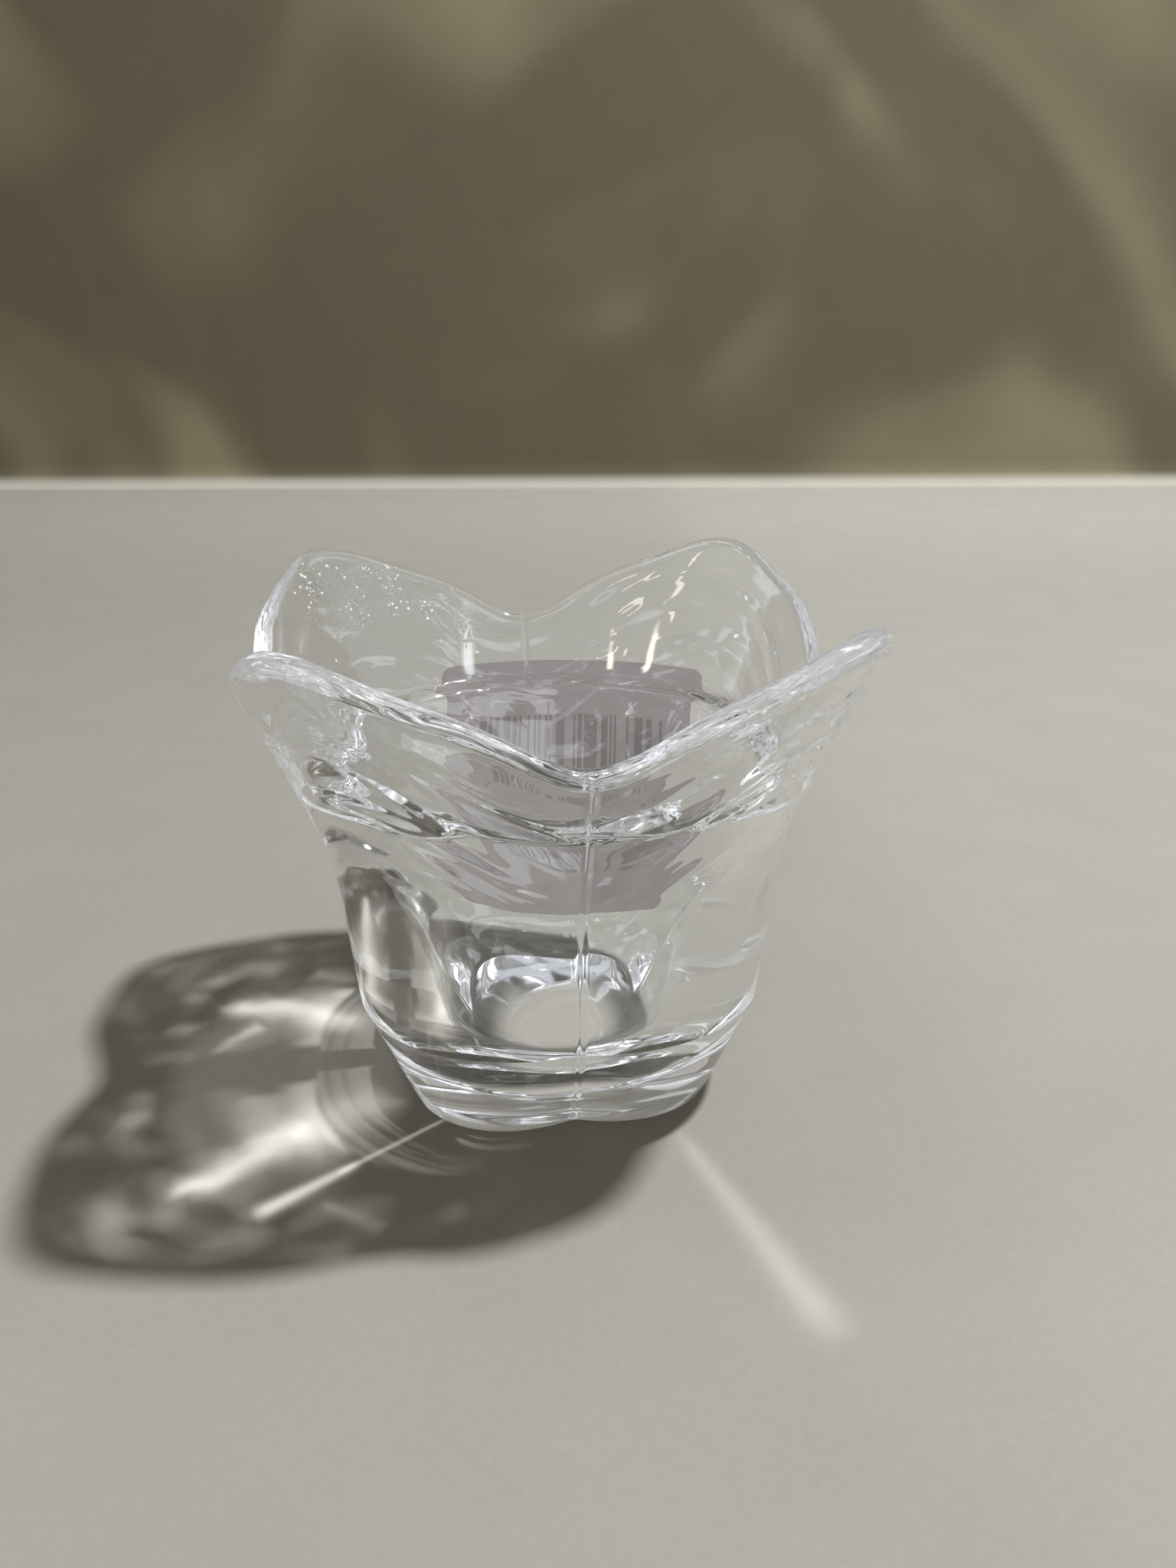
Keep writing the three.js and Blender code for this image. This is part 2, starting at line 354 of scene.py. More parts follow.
def vector_math(tree, operation, *vectors, **inputs):
    """Add a vector math node. Its vectors are given by place."""
    node = add(tree, "ShaderNodeVectorMath", {"operation": operation}, **inputs)
    for place, value in enumerate(vectors):
        join(tree, value, node.inputs[place])
    return node


def scaled(tree, vector, amount):
    """A vector or a colour times a number."""
    return vector_math(tree, "SCALE", vector, Scale=amount).outputs[0]


def stretched(tree, parts, factors):
    """The vector of three wires, each times its factor."""
    x, y, z = (part * factor for part, factor in zip(parts, factors))
    return add(tree, "ShaderNodeCombineXYZ", X=x, Y=y, Z=z).outputs[0]


def noise(tree, scale, **inputs):
    """Soft noise from 0 to 1, as a wire."""
    node = add(tree, "ShaderNodeTexNoise", Scale=scale, **inputs)
    return Wire(tree, node.outputs[0])


def blend(tree, factor, first, second):
    """The first colour at factor 0, and the second at 1."""
    node = add(tree, "ShaderNodeMix", {"data_type": "RGBA"}, Factor=factor)
    for socket, value in ((node.inputs[6], first), (node.inputs[7], second)):
        join(tree, value if hasattr(value, "is_linked") else (*value, 1), socket)
    return node.outputs[2]


def hypotenuse(x, y):
    """The length of the flat vector x, y."""
    return (x.squared() + y.squared()).math("SQRT")


def opposite(rise, run):
    """The angle whose tangent is rise over run."""
    return rise.math("ARCTAN2", run)


def split(tree, vector):
    """The x, y and z of a vector, as wires."""
    node = add(tree, "ShaderNodeSeparateXYZ", Vector=vector)
    return [Wire(tree, socket) for socket in node.outputs]


def new_tree(name):
    tree = bpy.data.node_groups.new(name, "GeometryNodeTree")
    tree.interface.new_socket("Geometry", in_out="OUTPUT", socket_type="NodeSocketGeometry")
    return tree


def size_inputs(tree, settings):
    """Give a tree one named input for each number of a property group, as wires too."""
    sockets = {}
    for prop in settings.bl_rna.properties:
        if prop.type not in {"FLOAT", "INT"} or prop.is_array:
            continue
        kind = "NodeSocketInt" if prop.type == "INT" else "NodeSocketFloat"
        socket = tree.interface.new_socket(prop.name, in_out="INPUT", socket_type=kind)
        socket.default_value = getattr(settings, prop.identifier)
        sockets[prop.identifier] = socket
    inlet = tree.nodes.new("NodeGroupInput")
    wires = {key: Wire(tree, inlet.outputs[s.name]) for key, s in sockets.items()}
    return sockets, SimpleNamespace(**wires)


def finish_tree(tree, geometry, material):
    """End a tree in plain geometry with its material."""
    real = add(tree, "GeometryNodeRealizeInstances", Geometry=geometry)
    coat = add(tree, "GeometryNodeSetMaterial", Geometry=real.outputs[0])
    coat.inputs["Material"].default_value = material
    outlet = tree.nodes.new("NodeGroupOutput")
    tree.links.new(coat.outputs[0], outlet.inputs[0])


def grow(name, tree, sockets, settings, start=None):
    """Run a geometry tree on a new object and keep its result as a plain mesh."""
    piece = bpy.data.objects.new(name, start or bpy.data.meshes.new(name))
    bpy.context.scene.collection.objects.link(piece)
    modifier = piece.modifiers.new(tree.name, "NODES")
    modifier.node_group = tree
    for key, socket in sockets.items():
        modifier[socket.identifier] = getattr(settings, key)
    depsgraph = bpy.context.evaluated_depsgraph_get()
    mesh = bpy.data.meshes.new_from_object(piece.evaluated_get(depsgraph))
    piece.modifiers.clear()
    piece.data = mesh
    mesh.name = name
    if not mesh.polygons:
        raise RuntimeError(f"{name} came out empty")
    return piece


def new_effect(name, inputs, outputs):
    """An empty shader group with named inputs and outputs."""
    tree = bpy.data.node_groups.new(name, "ShaderNodeTree")
    for label, kind, default in inputs:
        socket = tree.interface.new_socket(label, in_out="INPUT", socket_type=kind)
        socket.default_value = default
    for label, kind in outputs:
        tree.interface.new_socket(label, in_out="OUTPUT", socket_type=kind)
    return tree, tree.nodes.new("NodeGroupInput"), tree.nodes.new("NodeGroupOutput")


def fibre_effect():
    """Matted paper fibres: a colour, a roughness and a height that vary together."""
    found = bpy.data.node_groups.get("paper_fibre")
    if found:
        return found
    tree, inlet, outlet = new_effect(
        "paper_fibre",
        [
            ("Vector", "NodeSocketVector", (0, 0, 0)),
            ("Color", "NodeSocketColor", (0.8, 0.8, 0.8, 1)),
            ("Scale", "NodeSocketFloat", 900.0),
            ("Mottle", "NodeSocketFloat", 0.05),
            ("Roughness", "NodeSocketFloat", 0.8),
        ],
        [
            ("Color", "NodeSocketColor"),
            ("Roughness", "NodeSocketFloat"),
            ("Height", "NodeSocketFloat"),
        ],
    )
    place, scale = inlet.outputs["Vector"], inlet.outputs["Scale"]
    grain = noise(tree, scale, Vector=place, Detail=5.0, Roughness=0.65)
    cloud = noise(tree, Wire(tree, scale) * 0.06, Vector=place, Detail=3.0)
    tone = grain * 0.6 + cloud * 0.4
    shade = 1.0 + (tone - 0.5) * 2.0 * Wire(tree, inlet.outputs["Mottle"])
    tree.links.new(scaled(tree, inlet.outputs["Color"], shade), outlet.inputs["Color"])
    rough = Wire(tree, inlet.outputs["Roughness"]) + (tone - 0.5) * 0.15
    join(tree, rough, outlet.inputs["Roughness"])
    join(tree, grain, outlet.inputs["Height"])
    return tree


def smear_effect():
    """Handling marks on glass: a mask of faint smears and a height of shallow ripples."""
    found = bpy.data.node_groups.get("glass_smears")
    if found:
        return found
    tree, inlet, outlet = new_effect(
        "glass_smears",
        [
            ("Vector", "NodeSocketVector", (0, 0, 0)),
            ("Smear scale", "NodeSocketFloat", 60.0),
            ("Ripple scale", "NodeSocketFloat", 110.0),
        ],
        [("Smears", "NodeSocketFloat"), ("Ripples", "NodeSocketFloat")],
    )
    place = inlet.outputs["Vector"]
    streaky = {"Detail": 6.0, "Roughness": 0.7, "Distortion": 1.2}
    smear = noise(tree, inlet.outputs["Smear scale"], Vector=place, **streaky)
    ripple = noise(tree, inlet.outputs["Ripple scale"], Vector=place, Detail=1.0)
    join(tree, smear.ramp(0.52, 0.74), outlet.inputs["Smears"])
    join(tree, ripple, outlet.inputs["Ripples"])
    return tree


def effect(tree, group, **inputs):
    """Place a shared effect in a material with its own values."""
    return add(tree, "ShaderNodeGroup", {"node_tree": group}, **inputs)


def new_material(name):
    """A material with an empty Principled shader, and the object coordinates."""
    material = bpy.data.materials.new(name)
    material.use_nodes = True
    tree = material.node_tree
    shader = tree.nodes["Principled BSDF"]
    place = tree.nodes.new("ShaderNodeTexCoord").outputs["Object"]
    return material, tree, shader, place


def clear_glass(settings):
    """Clear glass, scuffed under the foot, with waves that run along each petal's lip."""
    material, tree, shader, place = new_material("clear_pressed_glass")
    marks = effect(tree, smear_effect(), Vector=place)
    x, y, height = split(tree, place)
    shape = tree.nodes.new("ShaderNodeNewGeometry")
    away = vector_math(tree, "DOT_PRODUCT", shape.outputs["Normal"], place)
    facing = 1.0 - 2.0 * Wire(tree, shape.outputs["Backfacing"])
    outside = (Wire(tree, away.outputs["Value"]) * facing).ramp(-SIDE, SIDE)
    petal = 4.0 * (x * y).squared() / (x.squared() + y.squared()).squared()
    lip = (settings.tip_height - settings.valley_height) * petal + settings.valley_height
    below_lip = stretched(tree, (x, y, lip - height), WAVE_CELLS)
    soft = {"Detail": 1.5, "Roughness": 0.32, "Distortion": 0.6}
    flow = noise(tree, 1.0, Vector=below_lip, **soft)
    flared = height.ramp(41.5 * MM, 47.0 * MM)
    flared = flared * (1.5 - 1.0 * height.ramp(55.0 * MM, 68.0 * MM))
    cast = flared * (INSIDE_SHARE + (1 - INSIDE_SHARE) * outside)
    waves = (flow - 0.5) * cast * settings.waves
    ripples = (Wire(tree, marks.outputs["Ripples"]) - 0.5) * RIPPLE_RELIEF
    scuffed = 1.0 - height.ramp(0.1 * MM, 0.7 * MM)
    smears = Wire(tree, marks.outputs["Smears"])
    middle = math.radians(FILM_AZIMUTH)
    toward = (x * math.cos(middle) + y * math.sin(middle)) / hypotenuse(x, y)
    cloud = noise(tree, 160.0, Vector=place, Detail=3.0)
    film = cloud.ramp(0.42, 0.6) * (1.0 - outside)
    film = film * toward.ramp(0.84, 0.97) * height.ramp(57.0 * MM, 62.0 * MM)
    rough = smears * 0.03 + scuffed * 0.06 + film * 0.1
    join(tree, rough, shader.inputs["Roughness"])
    grit = noise(tree, 1500.0, Vector=place, Detail=2.0)
    grains = grit.ramp(0.5, 0.66) * film * FILM_RELIEF
    relief = waves + ripples + grains
    shader.inputs["Base Color"].default_value = (0.975, 0.982, 0.985, 1)
    shader.inputs["Transmission Weight"].default_value = 1.0
    shader.inputs["IOR"].default_value = 1.52
    bump = add(tree, "ShaderNodeBump", Strength=1.0, Distance=1.0, Height=relief)
    tree.links.new(bump.outputs[0], shader.inputs["Normal"])
    return material


def printed_bars(tree, width, height):
    """A mask of upright bars of uneven width, from a rule. They stand for no code."""
    uv = split(tree, tree.nodes.new("ShaderNodeUVMap").outputs[0])
    across = (uv[0] - 0.5) * (width / MM)
    up = uv[1] * (height / MM)
    module = (across / BAR_MODULE).math("FLOOR")
    chance = add(tree, "ShaderNodeTexWhiteNoise", {"noise_dimensions": "1D"}, W=module)
    bars = Wire(tree, chance.outputs[0]).above(BARE_SHARE)
    inside = (BARS_REACH - across.math("ABSOLUTE")).above(0.0)
    band = up.above(BARS_BAND[0]) * up.below(BARS_BAND[1])
    return bars * inside * band


def paper_material(name, settings, base, ink_share, held):
    """Printed paper. Held is the glow from light that the glass holds against it."""
    material, tree, shader, place = new_material(name)
    fibre = effect(
        tree,
        fibre_effect(),
        Vector=place,
        Color=(*base, 1),
        Scale=1400.0,
        Mottle=0.05,
        Roughness=0.82,
    )
    bars = printed_bars(tree, settings.width, settings.height)
    inked = blend(tree, bars * ink_share, fibre.outputs["Color"], settings.ink)
    tree.links.new(inked, shader.inputs["Base Color"])
    tree.links.new(inked, shader.inputs["Emission Color"])
    tree.links.new(fibre.outputs["Roughness"], shader.inputs["Roughness"])
    shader.inputs["Emission Strength"].default_value = held
    bump = add(tree, "ShaderNodeBump", Strength=0.3, Distance=0.03 * MM)
    tree.links.new(fibre.outputs["Height"], bump.inputs["Height"])
    tree.links.new(bump.outputs[0], shader.inputs["Normal"])
    return material


def dried_material():
    """Dried droplets, with a faint glow so that they read as lit specks."""
    material, tree, shader, place = new_material("dried_droplets")
    marks = effect(tree, smear_effect(), Vector=place, Smear_scale=900.0)
    rough = Wire(tree, marks.outputs["Smears"]) * 0.25 + 0.12
    join(tree, rough, shader.inputs["Roughness"])
    for name in ("Base Color", "Emission Color"):
        shader.inputs[name].default_value = (0.95, 0.96, 0.97, 1)
    shader.inputs["Transmission Weight"].default_value = 0.1
    shader.inputs["Emission Strength"].default_value = 0.3
    shader.inputs["IOR"].default_value = 1.45
    return material


def glass_rules(size, around):
    """The glass's own rules at one place around the axis, as wires."""
    azimuth = around * TURN - (around * (TURN * PETALS)).sin() * (CROWDING / PETALS)
    turned = azimuth * (PETALS / TURN)
    valley = 1.0 - (turned - turned.math("ROUND")).math("ABSOLUTE") * 2.0
    phase = valley * math.pi
    smooth = phase.cos()
    creased = smooth * (1 - CREASE) + (1.0 - valley.squared() * 2.0) * CREASE

    def rim_wave(peak, broad):
        levelled = ((phase * 2.0).cos() - 1.0) * broad
        return phase.cos() * (1 - peak) + (phase * 3.0).cos() * peak + levelled

    def between(high, low, wave):
        return (high + low) * 0.5 + (high - low) * 0.5 * wave

    rule = SimpleNamespace(
        azimuth=azimuth,
        valley=valley,
        smooth=smooth,
        rim_radius=between(size.tip_radius, size.valley_radius, rim_wave(0.1, 0.025)),
        rim_height=between(size.tip_height, size.valley_height, rim_wave(0.09, -0.065)),
        ring=between(size.ring_lobe, size.ring_notch, creased),
        foot=between(size.foot_lobe, size.foot_notch, creased),
        knee=between(size.knee_tip, size.knee_valley, smooth),
    )
    lean = size.draft.tan()

    def drafted(height):
        return rule.ring + lean * (height - size.ring_height)

    def eased(height):
        grown = (height / size.knee_softness).exp() + 1.0
        return size.knee_softness * grown.math("LOGARITHM", math.e)

    rise = rule.rim_height - rule.knee
    run = rule.rim_radius - drafted(rule.knee)
    tilt = opposite(run, rise)
    round_ = size.lip_thickness * 0.5
    centre = (rule.rim_radius - round_ * tilt.sin(), rule.rim_height - round_ * tilt.cos())

    def lip(turn):
        turned = turn - tilt
        return centre[0] + round_ * turned.cos(), centre[1] + round_ * turned.sin()

    end = lip(rule.azimuth * 0.0)
    flare = (end[0] - drafted(end[1])) / eased(end[1] - rule.knee)

    def wall(height):
        return drafted(height) + flare * eased(height - rule.knee)

    rule.lip, rule.wall, rule.lip_outer = lip, wall, end
    return rule


def swing(centre, radius, start, stop, along):
    """A point on an arc of the meridian."""
    turn = start + (stop - start) * along
    return centre[0] + radius * turn.cos(), centre[1] + radius * turn.sin()


def glass_bands(size, rule, along):
    """The meridian as bands from the middle of the dish to the middle of the well.

    Each band is (rows, radius, height, how much of the seam it carries)."""
    zero = along * 0.0
    quarter = zero + math.pi / 2
    ring, ring_z = rule.ring, size.ring_height

    chamfer = opposite(ring_z, ring - rule.foot)
    edge = rule.foot - size.foot_rounding * (chamfer * 0.5).tan()
    foot_arc = (edge, size.foot_rounding)
    foot_turn = chamfer - math.pi / 2
    foot_end = swing(foot_arc, size.foot_rounding, zero - quarter, foot_turn, zero + 1.0)

    reach = size.ring_rounding * ((quarter - size.draft - chamfer) * 0.5).tan()
    ring_start = (ring - reach * chamfer.cos(), ring_z - reach * chamfer.sin())
    ring_arc = (
        ring_start[0] - size.ring_rounding * chamfer.sin(),
        ring_start[1] + size.ring_rounding * chamfer.cos(),
    )
    wall_start = ring_z + reach * size.draft.cos()

    wall_z = wall_start.toward(rule.lip_outer[1], along)
    lip_turn = along * math.pi
    inner = rule.lip(zero + math.pi)
    root = (rule.wall(zero + size.ledge_height) - size.root_thickness, size.ledge_height)
    lean = opposite(inner[0] - root[0], inner[1] - root[1])
    back = size.root_fillet / (lean * 0.5 + math.pi / 4).tan()
    root_arc = (root[0] - back, root[1] + size.root_fillet)
    root_top = swing(root_arc, size.root_fillet, zero - lean, zero - quarter, zero)

    lobes = 1.0 + size.well_lobes / size.mouth_radius * rule.smooth
    depth = size.ledge_height - size.floor_height
    steepest = opposite(size.mouth_radius - size.floor_radius, depth)
    shoulder = size.mouth_rounding / (steepest * 0.5 + math.pi / 4).tan()
    room = root_arc[0] / lobes - size.ledge_width - shoulder
    mouth_radius = size.mouth_radius.math("MINIMUM", room)
    taper = opposite(mouth_radius - size.floor_radius, depth)
    half = (taper * 0.5 + math.pi / 4).tan()
    mouth_arc = (
        mouth_radius + size.mouth_rounding / half,
        size.ledge_height - size.mouth_rounding,
    )
    mouth_end = zero + math.pi - taper
    mouth = swing(mouth_arc, size.mouth_rounding, quarter, mouth_end, along)
    mouth_low = swing(mouth_arc, size.mouth_rounding, quarter, mouth_end, zero + 1.0)
    corner_arc = (
        size.floor_radius - size.corner_radius / half,
        size.floor_height + size.corner_radius,
    )
    corner = swing(corner_arc, size.corner_radius, zero - taper, zero - quarter, along)
    corner_top = swing(corner_arc, size.corner_radius, zero - taper, zero - quarter, zero)

    def straight(start, stop):
        return start[0].toward(stop[0], along), start[1].toward(stop[1], along)

    dish = size.dish_radius
    edge_ring = swing(ring_arc, size.ring_rounding, foot_turn, zero - size.draft, along)
    mouth_wide = mouth_arc[0] * lobes
    return [
        (9, dish * along, size.dish_depth * (1.0 - along.squared()), zero),
        (4, dish.toward(edge, along), zero, zero),
        (7, *swing(foot_arc, size.foot_rounding, zero - quarter, foot_turn, along), along),
        (12, *straight(foot_end, ring_start), zero + 1.0),
        (6, *edge_ring, zero + 1.0),
        (50, rule.wall(wall_z), wall_z, zero + 1.0),
        (14, *rule.lip(lip_turn), 1.0 - along),
        (18, *straight(inner, root_top), zero),
        (7, *swing(root_arc, size.root_fillet, zero - lean, zero - quarter, along), zero),
        (7, root_arc[0].toward(mouth_wide, along), zero + size.ledge_height, zero),
        (7, mouth[0] * lobes, mouth[1], zero),
        (
            20,
            mouth_low[0].toward(corner_top[0], along) * lobes,
            mouth_low[1].toward(corner_top[1], along),
            zero,
        ),
        (16, corner[0] * lobes, corner[1], zero),
        (4, corner_arc[0] * lobes * (1.0 - along), zero + size.floor_height, zero),
    ]


def glass_tree(settings, material):
    """The bands bent round the axis, merged, and rippled along their normals."""
    tree = new_tree("pressed_glass")
    sockets, size = size_inputs(tree, settings)
    place = tree.nodes.new("GeometryNodeInputPosition").outputs[0]
    x, y, _ = split(tree, place)
    around = x + 0.5
    along = y + 0.5
    rule = glass_rules(size, around)
    gather = tree.nodes.new("GeometryNodeJoinGeometry")
    cosine, sine = rule.azimuth.cos(), rule.azimuth.sin()
    for rows, radius, height, seam in glass_bands(size, rule, along):
        aside = (1.0 - rule.valley) * (math.pi / PETALS) * radius / size.seam_width
        bulge = (aside.squared() * -1.0).exp() * size.seam_height * seam
        out = radius + bulge
        point = add(tree, "ShaderNodeCombineXYZ", X=out * cosine, Y=out * sine, Z=height)
        counts = {"Vertices_X": COLUMNS, "Vertices_Y": rows}
        grid = add(tree, "GeometryNodeMeshGrid", Size_X=1.0, Size_Y=1.0, **counts)
        band = add(tree, "GeometryNodeSetPosition", Geometry=grid.outputs[0])
        tree.links.new(point.outputs[0], band.inputs["Position"])
        tree.links.new(band.outputs[0], gather.inputs[0])
    whole = add(tree, "GeometryNodeMergeByDistance", Geometry=gather.outputs[0])
    whole.inputs["Distance"].default_value = WELD
    x, y, height = split(tree, place)
    wave = noise(tree, 75.0, Detail=0.0)
    flow = noise(tree, 1.0, Vector=stretched(tree, (x, y, height), FLOW_CELLS), Detail=1.0)
    lifted = height.ramp(1.0 * MM, 6.0 * MM)
    normal = tree.nodes.new("GeometryNodeInputNormal").outputs[0]
    leans = split(tree, normal)
    outside = (leans[0] * x + leans[1] * y).ramp(-SIDE, SIDE)
    flared = height.ramp(44.0 * MM, 54.0 * MM) * outside
    pressed = (wave - 0.5) * 2.0 * size.ripple * lifted
    amount = pressed + (flow - 0.5) * 2.0 * size.flow * flared
    rippled = add(tree, "GeometryNodeSetPosition", Geometry=whole.outputs[0])
    tree.links.new(scaled(tree, normal, amount), rippled.inputs["Offset"])
    smooth = add(tree, "GeometryNodeSetShadeSmooth", Geometry=rippled.outputs[0])
    finish_tree(tree, smooth.outputs[0], material)
    return tree, sockets


class Wall:
    """The outside of the finished glass, found by looking in from all round."""

    def __init__(self, glass):
        mesh = glass.data
        corners = [v.co.copy() for v in mesh.vertices]
        faces = [tuple(p.vertices) for p in mesh.polygons]
        self.faces = BVHTree.FromPolygons(corners, faces)

    def at(self, azimuth, height):
        out = Vector((math.cos(azimuth), math.sin(azimuth), 0))
        hit = self.faces.ray_cast(out * 0.2 + Vector((0, 0, height)), -out)[0]
        if hit is None:
            raise RuntimeError(f"no glass at height {height:.4f}")
        return hit

    def walk(self, azimuth, height, distance):
        """The place reached by going round the wall at one height."""
        paces = max(1, round(abs(distance) / MM))
        pace = distance / paces
        probe = 1e-3
        here = self.at(azimuth, height)
        for _ in range(paces):
            ahead = self.at(azimuth - probe, height)
            azimuth -= probe * pace / (ahead - here).length
            here = self.at(azimuth, height)
        return here


def label_rows(settings, count):
    """Heights up the label and its width there, with rounded corners."""
    rows = []
    for i in range(count + 1):
        eased = 0.5 - 0.5 * math.cos(math.pi * i / count)
        up = settings.height * (0.35 * i / count + 0.65 * eased)
        near = min(up, settings.height - up)
        inset = 0.0
        if near < settings.corner:
            gone = settings.corner - near
            inset = settings.corner - math.sqrt(max(settings.corner**2 - gone**2, 0.0))
        rows.append((up, settings.width - 2 * inset))
    return rows


def label_mesh(settings, wall):
    """A rectangle of paper wrapped on the wall, with thin air left behind it."""
    columns, levels = 56, 44
    rows = label_rows(settings, levels)
    points, flat = [], []
    for up, width in rows:
        for j in range(columns + 1):
            along = width * (j / columns - 0.5)
            points.append(wall.walk(settings.azimuth, settings.bottom + up, along))
            flat.append((along / settings.width + 0.5, up / settings.height))
    across = columns + 1
    normals = []
    for i in range(levels + 1):
        for j in range(columns + 1):
            left, right = max(j - 1, 0), min(j + 1, columns)
            low, high = max(i - 1, 0), min(i + 1, levels)
            side = points[i * across + right] - points[i * across + left]
            rise = points[high * across + j] - points[low * across + j]
            normals.append(rise.cross(side).normalized())
    inner = [p + n * settings.gap for p, n in zip(points, normals)]
    outer = [p + n * (settings.gap + settings.thickness) for p, n in zip(points, normals)]
    sheet = len(points)
    faces, kinds = [], []
    for i in range(levels):
        for j in range(columns):
            k = i * across + j
            faces.append((k, k + 1, k + 1 + across, k + across))
            kinds.append(1)
            faces.append(tuple(sheet + v for v in reversed(faces[-1])))
            kinds.append(0)
    border = list(range(columns))
    border += [i * across + columns for i in range(levels)]
    border += [levels * across + j for j in range(columns, 0, -1)]
    border += [i * across for i in range(levels, 0, -1)]
    for a, b in zip(border, border[1:] + border[:1]):
        faces.append((b, a, a + sheet, b + sheet))
        kinds.append(0)
    mesh = bpy.data.meshes.new("price_label")
    mesh.from_pydata(inner + outer, [], faces)
    uv = mesh.uv_layers.new(name="Flat")
    for loop in mesh.loops:
        uv.data[loop.index].uv = flat[loop.vertex_index % sheet]
    for polygon, kind in zip(mesh.polygons, kinds):
        polygon.material_index = kind
        polygon.use_smooth = len({v // sheet for v in polygon.vertices}) == 1
    mesh.validate()
    return mesh


def speck_tree(settings, material):
    """Droplets dried on the inside of the back left petal, thickest near its crest."""
    tree = new_tree("dried_droplets")
    tree.interface.new_socket("Glass", in_out="INPUT", socket_type="NodeSocketGeometry")
    sockets, size = size_inputs(tree, settings)
    glass = next(n for n in tree.nodes if n.bl_idname == "NodeGroupInput").outputs["Glass"]
    place = tree.nodes.new("GeometryNodeInputPosition").outputs[0]
    x, y, z = split(tree, place)
    normal = split(tree, tree.nodes.new("GeometryNodeInputNormal").outputs[0])
    azimuth = opposite(y, x)
    inward = (normal[0] * azimuth.cos() + normal[1] * azimuth.sin()).below(-0.3)
    aside = (azimuth - math.radians(FILM_AZIMUTH)).math("ABSOLUTE")
    central = aside.ramp(math.radians(30), math.radians(8))
    high = z.ramp(57 * MM, 66 * MM)
    patch = noise(tree, 160.0, Detail=3.0).ramp(0.46, 0.66)
    scatter = add(
        tree,
        "GeometryNodeDistributePointsOnFaces",
        Mesh=glass,
        Density=size.density * inward * central * high * patch,
        Seed=size.seed,
    )
    bead = add(tree, "GeometryNodeMeshIcoSphere", Radius=size.size, Subdivisions=1)
    flat = add(tree, "GeometryNodeTransform", Geometry=bead.outputs[0])
    flat.inputs["Scale"].default_value = (1.0, 1.0, 0.45)
    chance = add(tree, "FunctionNodeRandomValue", {"data_type": "FLOAT"})
    join(tree, size.seed, chance.inputs["Seed"])
    spread = Wire(tree, chance.outputs[1]).squared().squared() * 1.1 + 0.25
    placed = add(
        tree,
        "GeometryNodeInstanceOnPoints",
        Points=scatter.outputs["Points"],
        Instance=flat.outputs[0],
        Rotation=scatter.outputs["Rotation"],
        Scale=spread,
    )
    real = add(tree, "GeometryNodeRealizeInstances", Geometry=placed.outputs[0])
    smooth = add(tree, "GeometryNodeSetShadeSmooth", Geometry=real.outputs[0])
    finish_tree(tree, smooth.outputs[0], material)
    return tree, sockets


def stage_turn(settings):
    return Matrix.Rotation(settings.turn, 4, "Z")


def stage_camera(settings):
    """The camera that the holder was measured from."""
    pitch, roll = settings.pitch, settings.roll
    spot = Vector(
        (
            settings.aside,
            -settings.distance * math.cos(pitch),
            settings.aim + settings.distance * math.sin(pitch),
        )
    )
    ahead = Vector((0, math.cos(pitch), -math.sin(pitch)))
    right = Vector((1, 0, 0))
    up = right.cross(ahead)
    tilted_right = right * math.cos(roll) + up * math.sin(roll)
    tilted_up = up * math.cos(roll) - right * math.sin(roll)
    axes = Matrix((tilted_right, tilted_up, -ahead)).transposed().to_4x4()
    data = bpy.data.cameras.new("camera")
    data.lens = settings.lens
    data.sensor_width = 36
    data.clip_start = 0.01
    camera = bpy.data.objects.new("camera", data)
    camera.matrix_world = stage_turn(settings) @ Matrix.Translation(spot) @ axes
    bpy.context.scene.collection.objects.link(camera)
    bpy.context.scene.camera = camera


def stage_lamp(name, settings, power, spread, spot):
    """A round lamp that looks at the holder."""
    data = bpy.data.lights.new(name, "AREA")
    data.shape = "DISK"
    data.size = spread
    data.energy = power
    lamp = bpy.data.objects.new(name, data)
    spot = Vector(spot)
    look = (Vector((0, 0, 0.03)) - spot).to_track_quat("-Z", "Y").to_matrix().to_4x4()
    lamp.matrix_world = stage_turn(settings) @ Matrix.Translation(spot) @ look
    bpy.context.scene.collection.objects.link(lamp)
    return lamp


